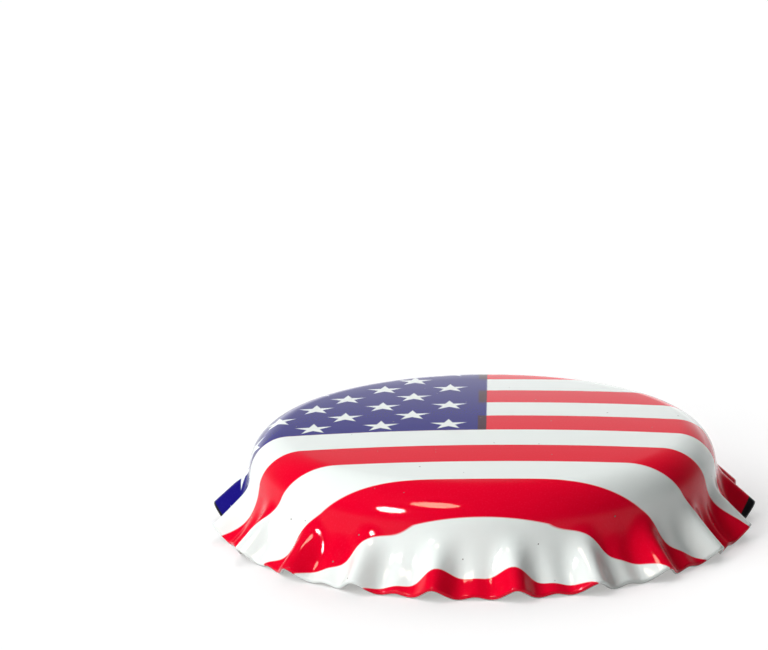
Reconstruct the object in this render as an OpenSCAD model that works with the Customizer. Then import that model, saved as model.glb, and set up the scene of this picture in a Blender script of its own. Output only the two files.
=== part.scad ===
// Crown cork: the fluted pry-off cap of a glass bottle, as it leaves the press and before it is
// crimped on. Millimetres.
//
// The shell is one disc of tinplate, drawn into a domed panel, a rounded shoulder and a skirt of
// ribs and grooves. The liner is a disc of soft compound with a sealing ring, moulded inside it.
// The crown stands on the lowest points of its rim at z = 0, with its axis on Z.

/* [Shell] */
// Diameter over the tips of the ribs
crown_d = 32.1; // [31:0.1:36]
// Depth of a groove's foot under the top of the dome
foot_depth = 5.84; // [5.4:0.01:8]
// Thickness of the tinplate
sheet_t = 0.24; // [0.16:0.01:0.3]
// Radius of the shallow dome of the panel
dome_r = 200; // [60:5:600]
// Radius of the rounded shoulder, outside
shoulder_r = 2.3; // [1.4:0.1:3]
// Steepness of the wall at the neck, just under the shoulder, in degrees
neck_angle = 84; // [76:1:88]

/* [Bottle] */
// Diameter of the bottle's mouth that the crown goes over
mouth_d = 26.6; // [25:0.1:27.6]
// Gap all round between the mouth and the neck of the crown
mouth_gap = 0.1; // [0.05:0.05:0.3]

/* [Ribs and grooves] */
// Number of ribs round the skirt
rib_count = 21; // [15:1:24]
// Angle of the first rib from the X axis, in degrees
rib_turn = 2.84; // [0:0.01:17]
// Height of a rib's outer edge above a groove's foot
rib_lift = 0.51; // [0.2:0.01:1]
// Radius with which a rib bends outwards from the neck, before it runs straight
rib_bend_r = 2.1; // [0.8:0.1:3]
// How much nearer the axis a groove's foot stands than a rib's tip
groove_depth = 0.68; // [0.4:0.01:1]
// Radius with which a groove bends outwards to its foot, after it has run straight from the neck
groove_bend_r = 4; // [2.4:0.1:6]
// Narrowing of the ribs seen from above: 0 makes ribs as wide as grooves
pinch_out = 0.38; // [0:0.01:0.5]
// Narrowing of the rim's wave seen from the side: more lowers the two corners of a groove
pinch_up = 0.7; // [0:0.01:0.8]

/* [Liner] */
// Thickness of the liner's web, inside the sealing ring
web_t = 0.3; // [0.2:0.05:0.6]
// Thickness of the sealing ring, from the panel to the land that meets the bottle's lip
ring_t = 1; // [0.6:0.05:1.4]
// Inner diameter of the flat land
land_inner_d = 18.8; // [17:0.1:20]
// Outer diameter of the flat land
land_outer_d = 23.4; // [22:0.1:23.8]
// Width of the slope between the web and the land
ring_slope = 0.5; // [0.2:0.1:1]
// Diameter of the circle that the small inner bead runs along
bead_circle_d = 15.6; // [12:0.1:16.4]
// Width of the bead's round section
bead_d = 0.5; // [0.3:0.05:0.6]
// Angle round the shoulder up to which the liner fills it, in degrees
liner_wrap = 50; // [20:5:60]
// Clearance between the liner and the shell
liner_gap = 0.04; // [0.03:0.01:0.1]

/* [Hidden] */

// Points on a profile are [distance from the axis, depth under the top of the dome], and the
// angle of a profile is its steepness below the horizontal.
neck_r = mouth_d / 2 + mouth_gap + sheet_t;
panel_r = (neck_r - shoulder_r * sin(neck_angle)) / (1 - shoulder_r / dome_r);
dome_angle = asin(panel_r / dome_r);
panel_drop = dome_r * (1 - cos(dome_angle));
shoulder_centre = [panel_r - shoulder_r * sin(dome_angle), panel_drop + shoulder_r * cos(dome_angle)];
neck = shoulder_centre + shoulder_r * facing(neck_angle);

rib_tip = [crown_d / 2, foot_depth - rib_lift];
rib_centre = neck + rib_bend_r * facing(neck_angle);
rib_way = rib_tip - rib_centre;
rib_angle = atan2(rib_way.y, rib_way.x) - asin(rib_bend_r / norm(rib_way));
rib_bend = rib_bend_r * (neck_angle - rib_angle) * PI / 180;
rib_straight = norm(rib_way + rib_bend_r * facing(rib_angle));

// A groove's bend is never so wide that it would have to start above the neck.
foot_way = [crown_d / 2 - groove_depth, foot_depth] - neck;
foot_out = foot_way * facing(neck_angle);
groove_r = min(groove_bend_r, foot_way * foot_way / (2 * foot_out));
groove_turned = acos(1 - foot_out / groove_r);
groove_bend = groove_r * groove_turned * PI / 180;
groove_straight = foot_way * along(neck_angle) - groove_r * sin(groove_turned);
groove_centre = neck + groove_straight * along(neck_angle) + groove_r * facing(neck_angle);

// The drawn surface is sampled in rings, and each rib and groove in equal steps.
dome_rings = 2;
shoulder_rings = 5;
skirt_rings = 6;
steps_per_rib = 10;
steps = rib_count * steps_per_rib;
probe = 0.01;

RINGS = concat(
    [for (i = [1 : dome_rings]) i / dome_rings],
    [for (i = [1 : shoulder_rings]) 1 + i / shoulder_rings],
    [for (i = [1 : skirt_rings]) 2 + i / skirt_rings]
);

// Outward direction of a profile whose steepness is a
function facing(a) = [sin(a), -cos(a)];

// Direction of travel down a profile whose steepness is a
function along(a) = [cos(a), sin(a)];

// Point at the fraction f of the way down a rib
function rib_at(f) =
    let (
        s = f * (rib_bend + rib_straight),
        a = neck_angle - min(s, rib_bend) / rib_bend_r * 180 / PI
    )
    rib_centre - rib_bend_r * facing(a) + max(s - rib_bend, 0) * along(rib_angle);

// Point at the fraction f of the way down a groove
function groove_at(f) =
    let (
        s = f * (groove_straight + groove_bend),
        a = neck_angle - max(s - groove_straight, 0) / groove_r * 180 / PI
    )
    groove_centre - groove_r * facing(a) - max(groove_straight - s, 0) * along(neck_angle);

// Share of the way from groove to rib at an angle round the axis
function rib_share(turn, pinch) =
    let (wave = rib_count * (turn - rib_turn))
    pow(cos(wave / 2), 2) - pinch * pow(sin(wave), 2);

// Point of the skirt, with its own share of the way outwards and upwards
function skirt_at(f, turn) =
    let (groove = groove_at(f), way = rib_at(f) - groove)
    groove + [way.x * rib_share(turn, pinch_out), way.y * rib_share(turn, pinch_up)];

// Profile point at u: 0 to 1 is the dome, 1 to 2 the shoulder, and 2 to 3 the skirt
function profile_at(u, turn) =
    u <= 1 ? [dome_r * sin(u * dome_angle), dome_r * (1 - cos(u * dome_angle))]
    : u <= 2 ? shoulder_centre + shoulder_r * facing(dome_angle + (u - 1) * (neck_angle - dome_angle))
    : skirt_at(u - 2, turn);

// Point of the outside face, measured from the top of the dome
function outside_at(u, turn) =
    let (p = profile_at(u, turn))
    [p.x * cos(turn), p.x * sin(turn), -p.y];

// Outward normal of the outside face, from two short probes across it
function normal_at(u, turn) =
    let (
        down = outside_at(min(u + probe, 3), turn) - outside_at(u - probe, turn),
        round = outside_at(u, turn + probe) - outside_at(u, turn - probe),
        n = cross(down, round)
    )
    n / norm(n);

// Point of the inside face, one thickness of sheet behind the outside face
function inside_at(u, turn) = outside_at(u, turn) - sheet_t * normal_at(u, turn);

// Turn of the step k round the axis
function turn_at(k) = rib_turn + k * 360 / steps;

// Height of the top of the dome over the lowest points of the rim
stand = -min([for (k = [0 : steps_per_rib - 1]) inside_at(3, turn_at(k)).z]);

// Two triangles across the patch between the rings i and i + 1, at the step k
function patch(i, k) =
    let (
        a = i * steps + k,
        b = i * steps + (k + 1) % steps
    )
    [[a, b, b + steps], [a, b + steps, a + steps]];

// The same triangles of a face, turned round and moved to other points
function flipped(faces, shift) = [for (f = faces) [f[2] + shift, f[1] + shift, f[0] + shift]];

// Depth of the panel's underside at a distance r from the axis
function underside_at(r) = dome_r - sqrt(pow(dome_r - sheet_t, 2) - r * r);

// Drawn tinplate shell
module shell() {
    outside = [for (u = RINGS) for (k = [0 : steps - 1]) outside_at(u, turn_at(k))];
    inside = [for (u = RINGS) for (k = [0 : steps - 1]) inside_at(u, turn_at(k))];
    side = len(outside) + 1;
    last = len(outside) - steps;

    // Faces of the outside, with the top of the dome as the last point of the side
    cover = concat(
        [for (k = [0 : steps - 1]) [side - 1, (k + 1) % steps, k]],
        [for (i = [0 : len(RINGS) - 2]) for (k = [0 : steps - 1]) each patch(i, k)]
    );
    // Cut edge of the sheet, from the outside face to the inside face
    rim = [for (k = [0 : steps - 1])
        let (a = last + k, b = last + (k + 1) % steps)
        each [[a, b, b + side], [a, b + side, a + side]]];

    color("crimson")
        translate([0, 0, stand])
            polyhedron(
                points = concat(outside, [[0, 0, 0]], inside, [[0, 0, -sheet_t]]),
                faces = concat(cover, flipped(cover, side), rim)
            );
}

// Soft sealing liner
module liner() {
    dome_steps = 8;
    wrap_steps = 6;
    wrap_r = shoulder_r - sheet_t - liner_gap;
    land = underside_at(land_outer_d / 2) + liner_gap + ring_t;
    web_edge = land_inner_d / 2 - ring_slope;

    top_face = [for (i = [0 : dome_steps - 1])
        let (r = i / dome_steps * panel_r)
        [r, underside_at(r) + liner_gap]];
    shoulder_face = [for (i = [0 : wrap_steps])
        shoulder_centre + wrap_r * facing(dome_angle + i / wrap_steps * (liner_wrap - dome_angle))];
    web_face = [for (i = [dome_steps : -1 : 0])
        let (r = i / dome_steps * web_edge)
        [r, underside_at(r) + liner_gap + web_t]];

    profile = concat(
        top_face,
        shoulder_face,
        [[land_outer_d / 2, land], [land_inner_d / 2, land]],
        web_face
    );

    color("gainsboro")
        translate([0, 0, stand])
            mirror([0, 0, 1])
                rotate_extrude($fn = 96) {
                    polygon(profile);
                    translate([bead_circle_d / 2, underside_at(bead_circle_d / 2) + liner_gap + web_t])
                        circle(d = bead_d, $fn = 24);
                }
}

shell();
liner();
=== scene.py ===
# %% [markdown]
# # A printed crown cork
#
# A crown cork is the fluted cap that closes a glass bottle. It begins as a flat disc of tinplate,
# a little under 38 mm across, that is printed and lacquered while it is still flat. A press then
# draws the disc into a shallow dome, a rounded shoulder and a skirt of ribs and grooves, and a soft
# sealing liner is moulded inside. This lesson models the two pieces, lays the flat print over the
# drawn shape, and lights the result like a small product on a white table.
#
# The construction model gives the frame that both pieces ride on, and the top of its box
#  is the top of the dome.

# %% Load the construction model
from math import acos, asin, atan2, cos, degrees, hypot, pi, radians, sin

import bpy
import numpy as np
from mathutils import Matrix, Vector


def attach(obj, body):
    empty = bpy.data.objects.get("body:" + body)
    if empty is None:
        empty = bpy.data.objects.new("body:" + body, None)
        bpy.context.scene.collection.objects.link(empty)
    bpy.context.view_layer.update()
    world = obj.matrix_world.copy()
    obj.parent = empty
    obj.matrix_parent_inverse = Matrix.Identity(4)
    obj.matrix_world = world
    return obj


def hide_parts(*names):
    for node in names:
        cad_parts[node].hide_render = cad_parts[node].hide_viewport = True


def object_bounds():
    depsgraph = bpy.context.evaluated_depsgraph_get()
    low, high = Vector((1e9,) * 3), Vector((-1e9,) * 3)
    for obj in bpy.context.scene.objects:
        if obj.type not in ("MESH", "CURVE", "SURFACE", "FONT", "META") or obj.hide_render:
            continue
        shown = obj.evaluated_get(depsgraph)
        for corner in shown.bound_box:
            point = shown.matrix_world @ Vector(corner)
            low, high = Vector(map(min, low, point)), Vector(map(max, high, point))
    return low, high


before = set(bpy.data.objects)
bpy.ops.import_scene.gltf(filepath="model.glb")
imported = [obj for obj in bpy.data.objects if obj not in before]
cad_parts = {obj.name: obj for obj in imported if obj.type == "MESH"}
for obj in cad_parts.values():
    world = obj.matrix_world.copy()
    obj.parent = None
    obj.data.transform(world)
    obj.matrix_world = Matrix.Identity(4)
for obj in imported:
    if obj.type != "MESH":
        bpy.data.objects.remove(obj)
cad_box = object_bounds()
MM = 0.001
TOP_Z = cad_box[1][2] / MM
print("construction box in millimetres:", [[round(v / MM, 2) for v in corner] for corner in cad_box])


# %% [markdown]
# ## The sizes of the crown
#
# Everything is worked out from a few sizes in millimetres, as on a maker's drawing. A profile of
# the crown is described by points that hold the distance from the axis and the depth under the top
# of the dome. The dome, the shoulder and the bends of the skirt are arcs that run into each other
# without a corner, because a press leaves none. The arcs could be drawn as curves by hand, but
# worked out like this they stay exact when a size is changed.

# %% Sizes
CROWN_D = 32.1          # over the tips of the ribs
SHEET_T = 0.24
DOME_R = 200.0
SHOULDER_R = 2.3
NECK_ANGLE = radians(84)
NECK_R = 13.64
RIB_COUNT = 21
RIB_TURN = radians(2.84)
RIB_TIP = (CROWN_D / 2, 5.33)
RIB_BEND_R = 2.1
GROOVE_FOOT = (CROWN_D / 2 - 0.68, 5.84)
GROOVE_BEND_R = 4.0
PINCH_OUT = 0.38        # how much narrower the ribs are than the grooves, seen from above
PINCH_UP = 0.70         # and the same for the wave of the rim, seen from the side

PANEL_R = (NECK_R - SHOULDER_R * sin(NECK_ANGLE)) / (1 - SHOULDER_R / DOME_R)
DOME_ANGLE = asin(PANEL_R / DOME_R)
print("radius of the domed panel:", round(PANEL_R, 2), "mm")


# %% Points on the drawn sheet
def facing(angle):
    """Outward direction of a profile that is this steep below the horizontal."""
    return np.array([np.sin(angle), -np.cos(angle)])


def along(angle):
    """Direction of travel down a profile that is this steep below the horizontal."""
    return np.array([np.cos(angle), np.sin(angle)])


SHOULDER_CENTRE = DOME_R * np.array([0.0, 1.0]) + (DOME_R - SHOULDER_R) * facing(DOME_ANGLE)
NECK = SHOULDER_CENTRE + SHOULDER_R * facing(NECK_ANGLE)


# %% The two walls of the skirt
RIB_CENTRE = NECK + RIB_BEND_R * facing(NECK_ANGLE)
rib_way = np.array(RIB_TIP) - RIB_CENTRE
RIB_ANGLE = atan2(rib_way[1], rib_way[0]) - asin(RIB_BEND_R / hypot(*rib_way))
RIB_STRAIGHT = hypot(*(rib_way + RIB_BEND_R * facing(RIB_ANGLE)))
RIB_BEND = RIB_BEND_R * (NECK_ANGLE - RIB_ANGLE)

foot_way = np.array(GROOVE_FOOT) - NECK
GROOVE_TURNED = acos(1 - foot_way @ facing(NECK_ANGLE) / GROOVE_BEND_R)
GROOVE_BEND = GROOVE_BEND_R * GROOVE_TURNED
GROOVE_STRAIGHT = foot_way @ along(NECK_ANGLE) - GROOVE_BEND_R * sin(GROOVE_TURNED)
GROOVE_CENTRE = NECK + GROOVE_STRAIGHT * along(NECK_ANGLE) + GROOVE_BEND_R * facing(NECK_ANGLE)


def on_arc(centre, radius, angle):
    """Points of an arc that is hollow towards the outside, by the sheet's steepness there."""
    return centre - radius * np.moveaxis(facing(angle), 0, -1)


def rib_at(part):
    """Points down a rib's crest, which bends outwards at the neck and then runs straight."""
    way = part * (RIB_BEND + RIB_STRAIGHT)
    angle = NECK_ANGLE - np.minimum(way, RIB_BEND) / RIB_BEND_R
    return (on_arc(RIB_CENTRE, RIB_BEND_R, angle)
            + np.maximum(way - RIB_BEND, 0)[..., None] * along(RIB_ANGLE))


def groove_at(part):
    """Points down a groove's middle, which runs straight from the neck and then bends outwards."""
    way = part * (GROOVE_STRAIGHT + GROOVE_BEND)
    angle = NECK_ANGLE - np.maximum(way - GROOVE_STRAIGHT, 0) / GROOVE_BEND_R
    return (on_arc(GROOVE_CENTRE, GROOVE_BEND_R, angle)
            - np.maximum(GROOVE_STRAIGHT - way, 0)[..., None] * along(NECK_ANGLE))


foot_angle = NECK_ANGLE - GROOVE_TURNED
print("slope of a rib and of a groove's foot:", round(degrees(RIB_ANGLE)), round(degrees(foot_angle)))


# %% [markdown]
# ## Ribs and grooves
#
# Going round the skirt, the sheet swings between two profiles, one down the crest of a rib and one
# down the middle of a groove. A plain cosine would make ribs and grooves equally wide. On a real
# crown the spare metal is gathered in narrow ribs, so a second wave of half the length is taken
# off, which narrows the ribs and leaves each groove with two low corners at the rim.
#
# The flutes could also be sculpted, or pressed in with a lattice. A formula is used because all
# of them are alike on a pressed part, and because the print has to follow the same waves.

# %% Share of a rib round the skirt
def rib_share(turn, pinch):
    """How far from groove to rib the sheet is at a turn round the axis: 0 to 1, and a little under."""
    wave = RIB_COUNT * (turn - RIB_TURN)
    return np.cos(wave / 2) ** 2 - pinch * np.sin(wave) ** 2


def profile_at(u, turn):
    """Profile points: u from 0 to 1 is the dome, to 2 the shoulder, and to 3 the skirt."""
    dome = DOME_ANGLE * np.clip(u, 0, 1)
    bend = DOME_ANGLE + (NECK_ANGLE - DOME_ANGLE) * (np.clip(u, 1, 2) - 1)
    on_dome = np.stack([DOME_R * np.sin(dome), DOME_R * (1 - np.cos(dome))], -1)
    on_shoulder = SHOULDER_CENTRE + SHOULDER_R * np.moveaxis(facing(bend), 0, -1)
    part = np.clip(u, 2, 3) - 2
    groove, rib = groove_at(part), rib_at(part)
    share = np.stack([rib_share(turn, PINCH_OUT), rib_share(turn, PINCH_UP)], -1)
    on_skirt = groove + share * (rib - groove)
    return np.where((u <= 1)[..., None], on_dome, np.where((u <= 2)[..., None], on_shoulder, on_skirt))


def outside_at(u, turn):
    """Points of the outside face in space."""
    p = profile_at(u, turn)
    return np.stack([p[..., 0] * np.cos(turn), p[..., 0] * np.sin(turn), TOP_Z - p[..., 1]], -1)


def normal_at(u, turn, probe=0.002):
    """Outward direction of the sheet, from short steps down it and round it."""
    down = outside_at(np.minimum(u + probe, 3), turn) - outside_at(np.maximum(u - probe, 0), turn)
    across = outside_at(u, turn + probe) - outside_at(u, turn - probe)
    n = np.cross(down, across)
    return n / np.linalg.norm(n, axis=-1, keepdims=True)


# %% [markdown]
# ## From the formed cap back to the flat disc
#
# The print was laid on the flat disc, so the material has to know where each point of the cap was
# on that disc. Drawing hardly stretches the sheet from the middle outwards: a point keeps its
# direction from the axis, and its distance on the flat disc is the length of sheet between it and
# the middle. Half-way down the skirt the ribs are pulled a little longer and the grooves are pushed
# a little shorter, and the sheet turns slightly towards the crest of each rib.
#
# An unwrapped picture could carry the print too. A place that is stored with each vertex needs no
# picture, and the edges of the ink stay sharp however close the camera comes.

# %% Place on the flat disc
DISC_R = 18.81
TO_PANEL = DOME_R * DOME_ANGLE
TO_NECK = TO_PANEL + SHOULDER_R * (NECK_ANGLE - DOME_ANGLE)
RIB_PULL, GROOVE_PUSH = 0.67, 0.58
GATHER = 0.022          # how far the sheet turns towards the crest of a rib, in radians


def flat_at(u, turn):
    """Place on the flat disc, in millimetres from its middle."""
    part = np.clip(u, 2, 3) - 2
    length = (TO_PANEL * np.clip(u, 0, 1)
              + (TO_NECK - TO_PANEL) * (np.clip(u, 1, 2) - 1)
              + (DISC_R - TO_NECK) * part
              + 4 * part * (1 - part) * (RIB_PULL * rib_share(turn, 0) - GROOVE_PUSH))
    way = turn + GATHER * part * np.sin(RIB_COUNT * (turn - RIB_TURN))
    return np.stack([length * np.cos(way), length * np.sin(way), np.zeros_like(length)], -1)


print("sheet from the middle to the neck:", round(TO_NECK, 2), "mm, and to the rim:", DISC_R, "mm")


# %% [markdown]
# ## The shell's mesh
#
# The shell is a grid of rings: down the outside from the dome to the rim, over the cut edge, and
# back up the inside, one thickness of sheet behind. The shears drag the printed face round the edge
# for about half of the thickness, and leave bare metal under it. A Solidify modifier could give the
# sheet its thickness, but it would leave the edge square. A few close rings carry the edge round
# instead, and each ring says which material it has. A fan closes the middle of each face.

# %% A builder for round meshes
def ring_mesh(name, rings, kinds, extra=None):
    """A closed mesh from rings of points, with its first and last ring closed at their middles."""
    count, steps = len(rings), len(rings[0])
    points = np.concatenate([np.asarray(rings).reshape(-1, 3),
                             [np.mean(rings[0], 0)], [np.mean(rings[-1], 0)]])
    faces, looks = [], []
    for i in range(count - 1):
        for k in range(steps):
            a, b = i * steps + k, i * steps + (k + 1) % steps
            faces.append((a, a + steps, b + steps, b))
            looks.append(kinds[i])
    last = (count - 1) * steps
    for k in range(steps):
        n = (k + 1) % steps
        faces.append((count * steps, k, n))
        looks.append(kinds[0])
        faces.append((count * steps + 1, last + n, last + k))
        looks.append(kinds[-1])
    mesh = bpy.data.meshes.new(name)
    mesh.from_pydata((points * MM).tolist(), [], faces)
    mesh.polygons.foreach_set("material_index", looks)
    mesh.polygons.foreach_set("use_smooth", [True] * len(faces))
    if extra is not None:
        values = np.concatenate([extra.reshape(-1, 3), [extra[0].mean(0)], [extra[-1].mean(0)]])
        store = mesh.attributes.new("flat_place", "FLOAT_VECTOR", "POINT")
        store.data.foreach_set("vector", values.astype(np.float32).ravel())
    mesh.update()
    piece = bpy.data.objects.new(name, mesh)
    bpy.context.scene.collection.objects.link(piece)
    print(name, "has", len(points), "points and", len(faces), "faces")
    return piece


# %% The rings of the shell
STEPS_PER_RIB = 24
STEPS = RIB_COUNT * STEPS_PER_RIB
OUTSIDE, CUT_EDGE, INSIDE = 0, 1, 2
FIRST_U = 0.06                  # the ring that is nearest to the middle
LAST_U = 2.985                  # the ring where the edge begins to turn over
skirt_length = DISC_R - TO_NECK

outer = np.concatenate([np.linspace(FIRST_U, 1, 10), np.linspace(1, 2, 17)[1:],
                        np.linspace(2, LAST_U, 32)[1:]])
edge = [(0.06, 0.004), (0.03, 0.02), (0.012, 0.05), (0.003, 0.09), (0.0, 0.14),
        (0.0, 0.185), (0.008, 0.215), (0.022, 0.233), (0.05, SHEET_T)]  # back from the edge, into the sheet
inner = np.concatenate([np.linspace(LAST_U, 2, 28), np.linspace(2, 1, 14)[1:],
                        np.linspace(1, FIRST_U, 8)[1:]])

u_rows = np.concatenate([outer, [3 - back / skirt_length for back, deep in edge], inner])
deep_rows = np.concatenate([outer * 0, [deep for back, deep in edge], inner * 0 + SHEET_T])
printed_rows = 4                # the print is drawn part of the way down the cut
kind_rows = ([OUTSIDE] * (len(outer) + printed_rows) + [CUT_EDGE] * (len(edge) - 1 - printed_rows)
             + [INSIDE] * (len(inner) + 1))

turns = RIB_TURN + np.arange(STEPS) * 2 * pi / STEPS
u_grid, turn_grid = np.meshgrid(u_rows, turns, indexing="ij")
places = outside_at(u_grid, turn_grid) - deep_rows[:, None, None] * normal_at(u_grid, turn_grid)
shell = ring_mesh("tinplate_shell", places, kind_rows, flat_at(u_grid, turn_grid))
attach(shell, "root")
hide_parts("shell")


# %% [markdown]
# ## The sealing liner
#
# The liner is stamped in hot compound straight into the upturned shell, so its back has the form
# of the dome and its edge fills part of the shoulder. Towards the bottle it has a thin web in the
# middle, a fine bead, and a thick ring with a flat land that the lip of the bottle presses into.
# Every corner of the mould is rounded. The section is drawn with a few corners, each of which is
# then rounded off, and turned round the axis. A Screw modifier would turn it as well, but the ring
# builder is there already and closes the middle of the web.

# %% Section of the liner
LINER_GAP = 0.04
WEB_T = 0.3
RING_T = 1.0
LAND = (9.4, 11.7)
SLOPE = 0.5
BEAD_CIRCLE_R = 7.8     # of the circle that the bead runs along
BEAD_R = 0.25           # of its own round section
WRAP_ANGLE = radians(50)
MOULD_R = 0.18          # how far each corner of the mould is rounded off
MIDDLE_R = 0.3          # of the ring that is nearest to the middle
LINER_STEPS = 240


def underside(r):
    """Depth of the panel's underside at a distance from the axis."""
    return DOME_R - np.sqrt((DOME_R - SHEET_T) ** 2 - r * r)


def web_depth(r):
    """Depth of the face of the liner's thin web."""
    return underside(r) + LINER_GAP + WEB_T


def rounded(points, radius, steps=5):
    """The open line through some points, with each inner corner rounded off."""
    line = [points[0]]
    for before, corner, after in zip(points, points[1:], points[2:]):
        before, corner, after = np.array(before), np.array(corner), np.array(after)
        to_before, to_after = before - corner, after - corner
        cut = min(radius, np.linalg.norm(to_before) / 2, np.linalg.norm(to_after) / 2)
        start = corner + to_before / np.linalg.norm(to_before) * cut
        end = corner + to_after / np.linalg.norm(to_after) * cut
        for t in np.linspace(0, 1, steps):
            line.append((1 - t) ** 2 * start + 2 * t * (1 - t) * corner + t * t * end)
    return line + [np.array(points[-1])]


land_depth = underside(LAND[1]) + LINER_GAP + RING_T
wrap = [SHOULDER_CENTRE + (SHOULDER_R - SHEET_T - LINER_GAP) * facing(a)
        for a in np.linspace(DOME_ANGLE, WRAP_ANGLE, 9)]
back = [(r, underside(r) + LINER_GAP) for r in np.linspace(MIDDLE_R, PANEL_R, 9)[:-1]]
bead = [(BEAD_CIRCLE_R + BEAD_R * cos(a), web_depth(BEAD_CIRCLE_R) + BEAD_R * sin(a))
        for a in np.linspace(0, pi, 9)]
web = [(r, web_depth(r)) for r in np.linspace(BEAD_CIRCLE_R - 0.6, MIDDLE_R, 6)]
ring = [(LAND[1], land_depth), (LAND[0], land_depth), (LAND[0] - SLOPE, web_depth(LAND[0] - SLOPE))]
beside_bead = BEAD_CIRCLE_R + 0.5
face = [wrap[-1]] + ring + [(beside_bead, web_depth(beside_bead))] + bead + web
section = [np.array(p) for p in back + wrap[:-1]] + rounded(face, MOULD_R)

liner_turns = np.arange(LINER_STEPS) * 2 * pi / LINER_STEPS
rings = [[(r * cos(t), r * sin(t), TOP_Z - depth) for t in liner_turns] for r, depth in section]
liner = ring_mesh("sealing_liner", np.array(rings), [0] * len(rings))
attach(liner, "root")
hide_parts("liner")


# %% [markdown]
# ## Helpers for materials
#
# The print is drawn with arithmetic on the place on the flat disc, so the node trees hold many
# small sums. A helper adds one sum at a time and hands back its result, which lets the recipes
# below read like formulas.

# %% Node helpers
MIX_BELOW, MIX_ABOVE, MIX_RESULT = 6, 7, 2      # the colour sockets of a Mix node, by number


def sum_of(tree, operation, *values, clamp=False):
    """The result of one Math node, whose values are numbers or other results."""
    node = tree.nodes.new("ShaderNodeMath")
    node.operation = operation
    node.use_clamp = clamp
    for socket, value in zip(node.inputs, values):
        if isinstance(value, (int, float)):
            socket.default_value = value
        else:
            tree.links.new(value, socket)
    return node.outputs[0]


def step_up(tree, value, soft):
    """A mask that goes from 0 to 1 as a length in millimetres goes from -soft to +soft."""
    return sum_of(tree, "MULTIPLY_ADD", value, 0.5 / soft, 0.5, clamp=True)


def blend_colours(tree, mask, below, above):
    """A colour that goes from the one below to the one above as the mask goes from 0 to 1."""
    node = tree.nodes.new("ShaderNodeMix")
    node.data_type = "RGBA"
    tree.links.new(mask, node.inputs["Factor"])
    for socket, value in ((node.inputs[MIX_BELOW], below), (node.inputs[MIX_ABOVE], above)):
        if isinstance(value, tuple):
            socket.default_value = value
        else:
            tree.links.new(value, socket)
    return node.outputs[MIX_RESULT]


def new_group(name, inputs, outputs):
    """A node group with named sockets: each is given as a name, a kind and a starting value."""
    tree = bpy.data.node_groups.new(name, "ShaderNodeTree")
    for way, sockets in (("INPUT", inputs), ("OUTPUT", outputs)):
        for title, kind, start in sockets:
            socket = tree.interface.new_socket(title, in_out=way, socket_type="NodeSocket" + kind)
            if start is not None:
                socket.default_value = start
    return tree, tree.nodes.new("NodeGroupInput"), tree.nodes.new("NodeGroupOutput")


def use_group(tree, group, **values):
    """A node group placed in a tree, with a number, a colour or a result for some of its inputs."""
    node = tree.nodes.new("ShaderNodeGroup")
    node.node_tree = group
    for title, value in values.items():
        socket = node.inputs[title.replace("_", " ")]
        if isinstance(value, (int, float, tuple)):
            socket.default_value = value
        else:
            tree.links.new(value, socket)
    return node


def new_material(name):
    """A new material, with its node tree and its shader."""
    material = bpy.data.materials.new(name)
    material.use_nodes = True
    return material, material.node_tree, material.node_tree.nodes["Principled BSDF"]


def paint(red, green, blue):
    """A colour as a paint chart gives it, 0 to 255, turned into the linear values of a shader."""
    linear = lambda v: v / 12.92 if v <= 0.04045 else ((v + 0.055) / 1.055) ** 2.4
    return tuple(linear(v / 255) for v in (red, green, blue)) + (1.0,)


# %% [markdown]
# ## A field of stars
#
# The stars stand in two interleaved lattices, one row shifted against the next. They could be cut
# as faces in the mesh, but the tips would then follow the rings instead of the print. A mask is
# sharper: inside a lattice every star is alike, so the recipe finds the nearest lattice point,
# measures from it, and folds the ten half-arms of a five-pointed star onto one. There a star's edge
# is a single straight line from a tip to a notch, and the distance from that line makes the mask.

# %% Star lattice group
STAR_R = 1.08          # from the middle of a star to a tip
NOTCH_R = STAR_R * 0.382        # and to a notch, where the arms of a true five-pointed star meet
STAR_PITCH_X = 3.95
STAR_PITCH_Y = 4.294
INK_SOFT = 0.035       # how softly an edge of ink ends

star_tree, star_in, star_out = new_group(
    "star lattice", [("Place", "Vector", None), ("First", "Vector", None)], [("Mask", "Float", None)])


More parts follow.
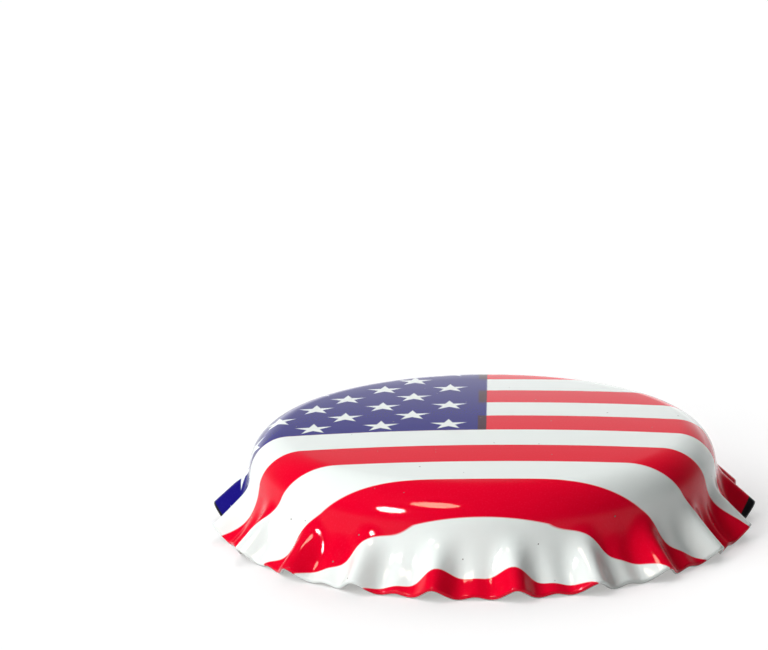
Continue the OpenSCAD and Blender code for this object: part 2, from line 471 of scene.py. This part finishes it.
def star_mask(tree, place, first):
    """1 inside a star of the lattice that starts at the first star and goes up and to the left."""
    offset = tree.nodes.new("ShaderNodeVectorMath")
    offset.operation = "SUBTRACT"
    tree.links.new(place, offset.inputs[0])
    tree.links.new(first, offset.inputs[1])
    parts = tree.nodes.new("ShaderNodeSeparateXYZ")
    tree.links.new(offset.outputs[0], parts.inputs[0])
    near, keep = [], []
    for axis, pitch, side in (("X", STAR_PITCH_X, -1), ("Y", STAR_PITCH_Y, 1)):
        cell = sum_of(tree, "DIVIDE", parts.outputs[axis], pitch)
        number = sum_of(tree, "ROUND", cell)
        near.append(sum_of(tree, "MULTIPLY", sum_of(tree, "SUBTRACT", cell, number), pitch))
        keep.append(sum_of(tree, "GREATER_THAN", sum_of(tree, "MULTIPLY", number, side), -0.5))
    squares = [sum_of(tree, "MULTIPLY", side, side) for side in near]
    reach = sum_of(tree, "SQRT", sum_of(tree, "ADD", *squares))
    arm = sum_of(tree, "ARCTAN2", near[0], near[1])
    folded = sum_of(tree, "ABSOLUTE", sum_of(tree, "WRAP", arm, pi / 5, -pi / 5))
    tip_way = sum_of(tree, "MULTIPLY", reach, sum_of(tree, "COSINE", folded))
    side_way = sum_of(tree, "MULTIPLY", reach, sum_of(tree, "SINE", folded))
    notch = (NOTCH_R * cos(pi / 5), NOTCH_R * sin(pi / 5))
    length = hypot(STAR_R - notch[0], notch[1])
    across = sum_of(tree, "MULTIPLY", sum_of(tree, "SUBTRACT", STAR_R, tip_way), notch[1] / length)
    inside = sum_of(tree, "SUBTRACT", across,
                    sum_of(tree, "MULTIPLY", side_way, (STAR_R - notch[0]) / length))
    mask = step_up(tree, inside, INK_SOFT)
    return sum_of(tree, "MULTIPLY", mask, sum_of(tree, "MULTIPLY", *keep))


star_tree.links.new(star_mask(star_tree, star_in.outputs["Place"], star_in.outputs["First"]),
                    star_out.inputs["Mask"])
print("star lattice uses", len(star_tree.nodes), "nodes")


# %% [markdown]
# ## The printed flag pattern
#
# The print is the old stars and stripes: equal stripes right across the disc, and a blue field
# over the upper left. The stripes come from one wave, which is above zero where the ink is red. The
# red runs a little under the blue at the field's edge, where the two inks add up to a dark maroon.
# Outside the print the disc keeps a near-black margin, of which only a sliver is left at the rim,
# on the left and on the right.
# Where a colour is laid thin, the white base shows through as a faint cloud.

# %% Colours and places of the print
WHITE = paint(233, 239, 236)
RED = paint(226, 0, 40)
RED_THIN = paint(231, 30, 60)
BLUE = paint(26, 20, 119)
BLUE_THIN = paint(38, 32, 132)
MAROON = paint(62, 12, 42)
MARGIN = paint(30, 30, 34)

STRIPE = 3.046
FIELD = (0.256, -1.98)           # lower right corner of the blue field, from the middle of the disc
OVERLAP = 0.5                    # how far the red runs under the blue
PRINT_ENDS = (-18.6, 18.26)
STARS_UP = 1.26                  # from the field's lower edge to its lowest row of stars
FIRST_STAR = (FIELD[0] - 2.22, FIELD[1] + STARS_UP, 0.0)
NEXT_STAR = (FIELD[0] - 4.375, FIELD[1] + STARS_UP + STAR_PITCH_Y / 2, 0.0)

# %% Print group
flag_tree, flag_in, flag_out = new_group(
    "printed pattern", [("Place", "Vector", None), ("Grain", "Float", 0.5)], [("Color", "Color", None)])


def flag_colour(tree, place, grain):
    """The colour of the print at a place on the flat disc."""
    parts = tree.nodes.new("ShaderNodeSeparateXYZ")
    tree.links.new(place, parts.inputs[0])
    x, y = parts.outputs["X"], parts.outputs["Y"]
    stripes_up = sum_of(tree, "DIVIDE", sum_of(tree, "SUBTRACT", y, FIELD[1]), STRIPE)
    swing = sum_of(tree, "SINE", sum_of(tree, "MULTIPLY", stripes_up, pi))
    red = step_up(tree, sum_of(tree, "MULTIPLY", swing, STRIPE / pi), INK_SOFT)
    above = step_up(tree, sum_of(tree, "SUBTRACT", y, FIELD[1]), INK_SOFT)
    left = step_up(tree, sum_of(tree, "SUBTRACT", FIELD[0], x), INK_SOFT)
    field = sum_of(tree, "MULTIPLY", above, left)
    near_edge = step_up(tree, sum_of(tree, "SUBTRACT", x, FIELD[0] - OVERLAP), INK_SOFT)
    lap = sum_of(tree, "MULTIPLY", red, near_edge)
    stars = sum_of(tree, "MAXIMUM", *[
        use_group(tree, star_tree, Place=place, First=first).outputs["Mask"]
        for first in (FIRST_STAR, NEXT_STAR)])
    red_ink = blend_colours(tree, grain, RED, RED_THIN)
    blue_ink = blend_colours(tree, grain, BLUE, BLUE_THIN)
    stripes = blend_colours(tree, red, WHITE, red_ink)
    lapped = blend_colours(tree, lap, blue_ink, MAROON)
    starred = blend_colours(tree, stars, lapped, WHITE)
    flag = blend_colours(tree, field, stripes, starred)
    past = sum_of(tree, "MAXIMUM", step_up(tree, sum_of(tree, "SUBTRACT", x, PRINT_ENDS[1]), INK_SOFT),
                  step_up(tree, sum_of(tree, "SUBTRACT", PRINT_ENDS[0], x), INK_SOFT))
    return blend_colours(tree, past, flag, MARGIN)


flag_tree.links.new(flag_colour(flag_tree, flag_in.outputs["Place"], flag_in.outputs["Grain"]),
                    flag_out.inputs["Color"])
print("printed pattern uses", len(flag_tree.nodes), "nodes")


# %% [markdown]
# ## The skin of lacquer
#
# Lacquer that is rolled on and baked is never quite flat. It keeps a faint orange peel, and a few
# specks of dust are caught in it. The print, the plain lacquer inside and the moulded liner all
# have such a skin, so it is a group that gives a height for the bump and a mask for the specks.
# Each material then sets its own scale.

# %% Lacquer skin group
DUSTY_FROM = 0.7        # a cell of the dust pattern whose random tone is above this has a speck
SPECK_HEIGHT = 0.6      # next to the orange peel, whose height goes from 0 to 1

skin_tree, skin_in, skin_out = new_group(
    "lacquer skin",
    [("Peel Scale", "Float", 900.0), ("Dust Scale", "Float", 1200.0), ("Dust Size", "Float", 0.06)],
    [("Height", "Float", None), ("Dust", "Float", None)])


def lacquer_skin(tree, group_in, group_out):
    """Fills the group with the orange peel and the specks of dust."""
    where = tree.nodes.new("ShaderNodeTexCoord").outputs["Object"]
    peel = tree.nodes.new("ShaderNodeTexNoise")
    peel.inputs["Detail"].default_value = 2.0
    tree.links.new(where, peel.inputs["Vector"])
    tree.links.new(group_in.outputs["Peel Scale"], peel.inputs["Scale"])
    dust = tree.nodes.new("ShaderNodeTexVoronoi")
    tree.links.new(where, dust.inputs["Vector"])
    tree.links.new(group_in.outputs["Dust Scale"], dust.inputs["Scale"])
    pick = tree.nodes.new("ShaderNodeSeparateColor")
    tree.links.new(dust.outputs["Color"], pick.inputs[0])
    few = sum_of(tree, "GREATER_THAN", pick.outputs[0], DUSTY_FROM)
    near = sum_of(tree, "LESS_THAN", dust.outputs["Distance"], group_in.outputs["Dust Size"])
    specks = sum_of(tree, "MULTIPLY", few, near)
    tree.links.new(specks, group_out.inputs["Dust"])
    height = sum_of(tree, "MULTIPLY_ADD", specks, SPECK_HEIGHT, peel.outputs["Fac"])
    tree.links.new(height, group_out.inputs["Height"])


lacquer_skin(skin_tree, skin_in, skin_out)


def add_bump(tree, shader, height, distance, strength):
    """Lets a height roughen a shader's surface, by a distance in metres."""
    bump = tree.nodes.new("ShaderNodeBump")
    bump.inputs["Strength"].default_value = strength
    bump.inputs["Distance"].default_value = distance
    tree.links.new(height, bump.inputs["Height"])
    tree.links.new(bump.outputs["Normal"], shader.inputs["Normal"])


# %% [markdown]
# ## The printed outside
#
# The outside is ink under a clear, hard lacquer. One glossy shader could stand for both, but then
# the ink itself would shine and turn pale. Here the ink is a dull base and the lacquer is the coat
# over it, which alone shows the lamps. The coat's low index keeps the reflection of the white table
# in the cap's walls faint, which would wash out the red.

# %% Printed outside
CLOUD_GAIN, CLOUD_START = 2.6, -1.35    # turn even noise into a few thin places

printed, tree, shader = new_material("printed_lacquer")
flat_place = tree.nodes.new("ShaderNodeAttribute")
flat_place.attribute_name = "flat_place"
cloud = tree.nodes.new("ShaderNodeTexNoise")
cloud.inputs["Scale"].default_value = 9.0
cloud.inputs["Detail"].default_value = 3.0
tree.links.new(flat_place.outputs["Vector"], cloud.inputs["Vector"])
thin_ink = sum_of(tree, "MULTIPLY_ADD", cloud.outputs["Fac"], CLOUD_GAIN, CLOUD_START, clamp=True)
pattern = use_group(tree, flag_tree, Place=flat_place.outputs["Vector"], Grain=thin_ink)
skin = use_group(tree, skin_tree)
dusty = blend_colours(tree, skin.outputs["Dust"], pattern.outputs["Color"], paint(120, 118, 112))
tree.links.new(dusty, shader.inputs["Base Color"])
shader.inputs["Roughness"].default_value = 0.32
shader.inputs["Specular IOR Level"].default_value = 0.0
shader.inputs["Coat Weight"].default_value = 1.0
shader.inputs["Coat Roughness"].default_value = 0.05
shader.inputs["Coat IOR"].default_value = 1.22
add_bump(tree, shader, skin.outputs["Height"], 0.00002, 0.35)
shell.data.materials.append(printed)
print("printed outside uses", len(tree.nodes), "nodes")

# %% [markdown]
# ## The cut edge
#
# Where the disc was punched out, the steel is bare and slightly torn. A plain grey would do from
# afar. Metal with fine streaks in its colour and height is used, because close up the thin edge
# has to glint in places and not all along.

# %% Bare cut edge
cut, tree, shader = new_material("bare_cut_edge")
streaks = tree.nodes.new("ShaderNodeTexNoise")
streaks.inputs["Scale"].default_value = 2500.0
shade = blend_colours(tree, streaks.outputs["Fac"], paint(150, 150, 150), paint(205, 205, 203))
tree.links.new(shade, shader.inputs["Base Color"])
shader.inputs["Metallic"].default_value = 1.0
shader.inputs["Roughness"].default_value = 0.42
add_bump(tree, shader, streaks.outputs["Fac"], 0.00002, 0.5)
shell.data.materials.append(cut)
print("cut edge uses", len(tree.nodes), "nodes")

# %% [markdown]
# ## The lacquered inside
#
# Inside, the tinplate has only a clear, slightly golden lacquer against the drink. It could be
# painted beige, but the metal under it has to show, so the base is metallic with a warm tone that
# drifts a little, and a thin coat lies over it.

# %% Lacquered inside
lining, tree, shader = new_material("inside_lacquer")
skin = use_group(tree, skin_tree, Peel_Scale=600.0)
drift = tree.nodes.new("ShaderNodeTexNoise")
drift.inputs["Scale"].default_value = 260.0
tone = blend_colours(tree, drift.outputs["Fac"], paint(176, 170, 152), paint(200, 196, 184))
dusty = blend_colours(tree, skin.outputs["Dust"], tone, paint(110, 106, 98))
tree.links.new(dusty, shader.inputs["Base Color"])
shader.inputs["Metallic"].default_value = 0.85
shader.inputs["Roughness"].default_value = 0.34
shader.inputs["Coat Weight"].default_value = 0.6
shader.inputs["Coat Roughness"].default_value = 0.12
add_bump(tree, shader, skin.outputs["Height"], 0.00002, 0.5)
shell.data.materials.append(lining)
print("inside lacquer uses", len(tree.nodes), "nodes")

# %% [markdown]
# ## The liner's compound
#
# The liner is a soft, milky plastic. Plain white would look like chalk, so a little light is let
# through the surface, and the tone clouds over by a few steps, as moulded compound does.

# %% Liner compound
compound, tree, shader = new_material("liner_compound")
skin = use_group(tree, skin_tree, Peel_Scale=380.0, Dust_Scale=300.0)
milk = tree.nodes.new("ShaderNodeTexNoise")
milk.inputs["Scale"].default_value = 190.0
tone = blend_colours(tree, milk.outputs["Fac"], paint(214, 216, 211), paint(229, 229, 224))
dusty = blend_colours(tree, skin.outputs["Dust"], tone, paint(150, 148, 140))
tree.links.new(dusty, shader.inputs["Base Color"])
shader.inputs["Roughness"].default_value = 0.4
shader.inputs["Subsurface Weight"].default_value = 0.25
shader.inputs["Subsurface Radius"].default_value = (0.0006, 0.0006, 0.0005)
shader.inputs["Subsurface Scale"].default_value = 1.0
add_bump(tree, shader, skin.outputs["Height"], 0.00004, 0.4)
liner.data.materials.append(compound)
print("liner compound uses", len(tree.nodes), "nodes")


# %% [markdown]
# ## The table
#
# The table is one wide pale sheet. To come out white, it glows a little for the camera and for
# reflections, but not as a lamp: the light that it throws up on the cap is only what falls on it,
# and the shadow of the cap stays.

# %% Table
TABLE_GREY = 0.64
TABLE_GLOW = 0.37

table_mesh = bpy.data.meshes.new("table")
half = 1.6
corners = [(-half, -half, 0), (half, -half, 0), (half, half, 0), (-half, half, 0)]
table_mesh.from_pydata(corners, [], [(0, 1, 2, 3)])
table = bpy.data.objects.new("table", table_mesh)
bpy.context.scene.collection.objects.link(table)
pale, tree, shader = new_material("pale_table")
shader.inputs["Base Color"].default_value = (TABLE_GREY, TABLE_GREY, TABLE_GREY, 1.0)
shader.inputs["Roughness"].default_value = 0.9
shader.inputs["Specular IOR Level"].default_value = 0.0
shader.inputs["Emission Color"].default_value = (1.0, 1.0, 1.0, 1.0)
path = tree.nodes.new("ShaderNodeLightPath")
seen = sum_of(tree, "MAXIMUM", path.outputs["Is Camera Ray"],
              sum_of(tree, "MAXIMUM", path.outputs["Is Glossy Ray"], path.outputs["Is Transmission Ray"]))
tree.links.new(sum_of(tree, "MULTIPLY", seen, TABLE_GLOW), shader.inputs["Emission Strength"])
table_mesh.materials.append(pale)
print("table is", 2 * half, "m wide")


# %% [markdown]
# ## Light from the room
#
# A white studio is hardly ever evenly bright. This one has a faint ceiling, a thin bright skyline
# that softens the edge of the table's reflection in the walls of the cap, and a broad glow low
# behind the cap. The panel lies almost flat to the view, so it reflects that glow, and its colours
# turn milky. A picture of a studio could light it as well, but three sums are enough and need no
# file.

# %% Soft light all round
CEILING = 0.12
SKYLINE, SKYLINE_THIN = 0.7, 10.0       # a higher power makes the bright line thinner
BEHIND, BEHIND_LOW, BEHIND_NARROW = 1.12, 2.0, 3.0

world = bpy.data.worlds.new("studio")
world.use_nodes = True
bpy.context.scene.world = world
tree = world.node_tree
way = tree.nodes.new("ShaderNodeSeparateXYZ")
tree.links.new(tree.nodes.new("ShaderNodeTexCoord").outputs["Generated"], way.inputs[0])
low = sum_of(tree, "SUBTRACT", 1.0, sum_of(tree, "ABSOLUTE", way.outputs["Z"]))
ceiling = sum_of(tree, "MULTIPLY", sum_of(tree, "MAXIMUM", way.outputs["Z"], 0.0), CEILING)
skyline = sum_of(tree, "MULTIPLY_ADD", sum_of(tree, "POWER", low, SKYLINE_THIN), SKYLINE, ceiling)
backward = sum_of(tree, "MAXIMUM", way.outputs["Y"], 0.0)
behind = sum_of(tree, "MULTIPLY", sum_of(tree, "POWER", low, BEHIND_LOW),
                sum_of(tree, "POWER", backward, BEHIND_NARROW))
room = sum_of(tree, "MULTIPLY_ADD", behind, BEHIND, skyline)
tree.links.new(room, tree.nodes["Background"].inputs["Color"])
print("room light uses", len(tree.nodes), "nodes")


# %% [markdown]
# ## Lamps
#
# Two kinds of lamp are kept apart. Broad soft lamps at the left, at the front left and behind shape
# the cap and its shadow, and don't show in the gloss. A round lamp and a long warm one show only in
# the gloss, as the small bright marks on the shoulder and at the roots of the ribs. One set of lamps
# could do both, but then a mark couldn't be moved without changing the shading.

# %% Lamps
def lamp(name, turn, lift, distance, size, power, colour, long=None, shapes=True, shines=True):
    """A lamp that looks at the cap from a turn round it (0 is in front) and a lift above the table.

    Sizes are in metres and the power in watts. It can light the surfaces, show in their gloss, or
    do both.
    """
    light = bpy.data.lights.new(name, "AREA")
    light.shape = "DISK" if long is None else "ELLIPSE"
    light.size = size
    if long is not None:
        light.size, light.size_y = long, size
    light.energy = power
    light.color = colour
    thing = bpy.data.objects.new(name, light)
    turn, lift = radians(turn), radians(lift)
    away = Vector((sin(turn) * cos(lift), -cos(turn) * cos(lift), sin(lift)))
    thing.location = away * distance
    thing.rotation_euler = away.to_track_quat("Z", "Y").to_euler()
    thing.visible_diffuse, thing.visible_glossy = shapes, shines
    bpy.context.scene.collection.objects.link(thing)


NEUTRAL = (1.0, 1.0, 1.0)
WARM = (1.0, 0.78, 0.56)
lamp("broad key at the left", -75, 48, 1.0, 0.8, 7.1, NEUTRAL, shines=False)
lamp("soft fill at the front left", -38, 22, 1.0, 0.5, 4.9, NEUTRAL, shines=False)
lamp("soft light from behind", 174, 40, 1.0, 0.6, 4.6, NEUTRAL, shines=False)
lamp("round highlight", -47.5, 27, 1.0, 0.24, 17.0, NEUTRAL, shapes=False)
lamp("long warm highlight", -30.5, 52, 1.1, 0.28, 12.0, WARM, long=0.38, shapes=False)

# %% [markdown]
# ## Camera
#
# A long lens looks down on the cap from a little above the table. It is aimed beside and above the
# cap, so the cap sits low and to the right in the picture. Shifting the lens would frame it in the
# same way, but turning the camera needs no special lens, and it keeps other views centred.

# %% Camera
CAMERA_TURN = radians(0.461)
CAMERA_LIFT = radians(15.52)
CAMERA_ROLL = radians(-0.634)
CAMERA_DISTANCE = 263.1 * MM
AIM_LEFT, AIM_UP = 5.74 * MM, 5.57 * MM

top = Vector((0, 0, TOP_Z * MM))
toward = Vector((sin(CAMERA_TURN) * cos(CAMERA_LIFT),
                 -cos(CAMERA_TURN) * cos(CAMERA_LIFT),
                 sin(CAMERA_LIFT)))
level = (-toward).cross(Vector((0, 0, 1))).normalized()
upward = level.cross(-toward)
right = cos(CAMERA_ROLL) * level + sin(CAMERA_ROLL) * upward
up = cos(CAMERA_ROLL) * upward - sin(CAMERA_ROLL) * level
place = top + toward * CAMERA_DISTANCE
look = (top - right * AIM_LEFT + up * AIM_UP - place).normalized()
right = (right - look * right.dot(look)).normalized()
up = right.cross(look)

lens = bpy.data.cameras.new("camera")
lens.sensor_width = 36.0
lens.lens = 210.9
lens.clip_start = 0.01
camera = bpy.data.objects.new("camera", lens)
camera.matrix_world = Matrix.Translation(place) @ Matrix((right, up, -look)).transposed().to_4x4()
bpy.context.scene.collection.objects.link(camera)
bpy.context.scene.camera = camera
bpy.context.scene.view_settings.view_transform = "Standard"
print("camera stands", round(place.length / MM), "mm from the cap")
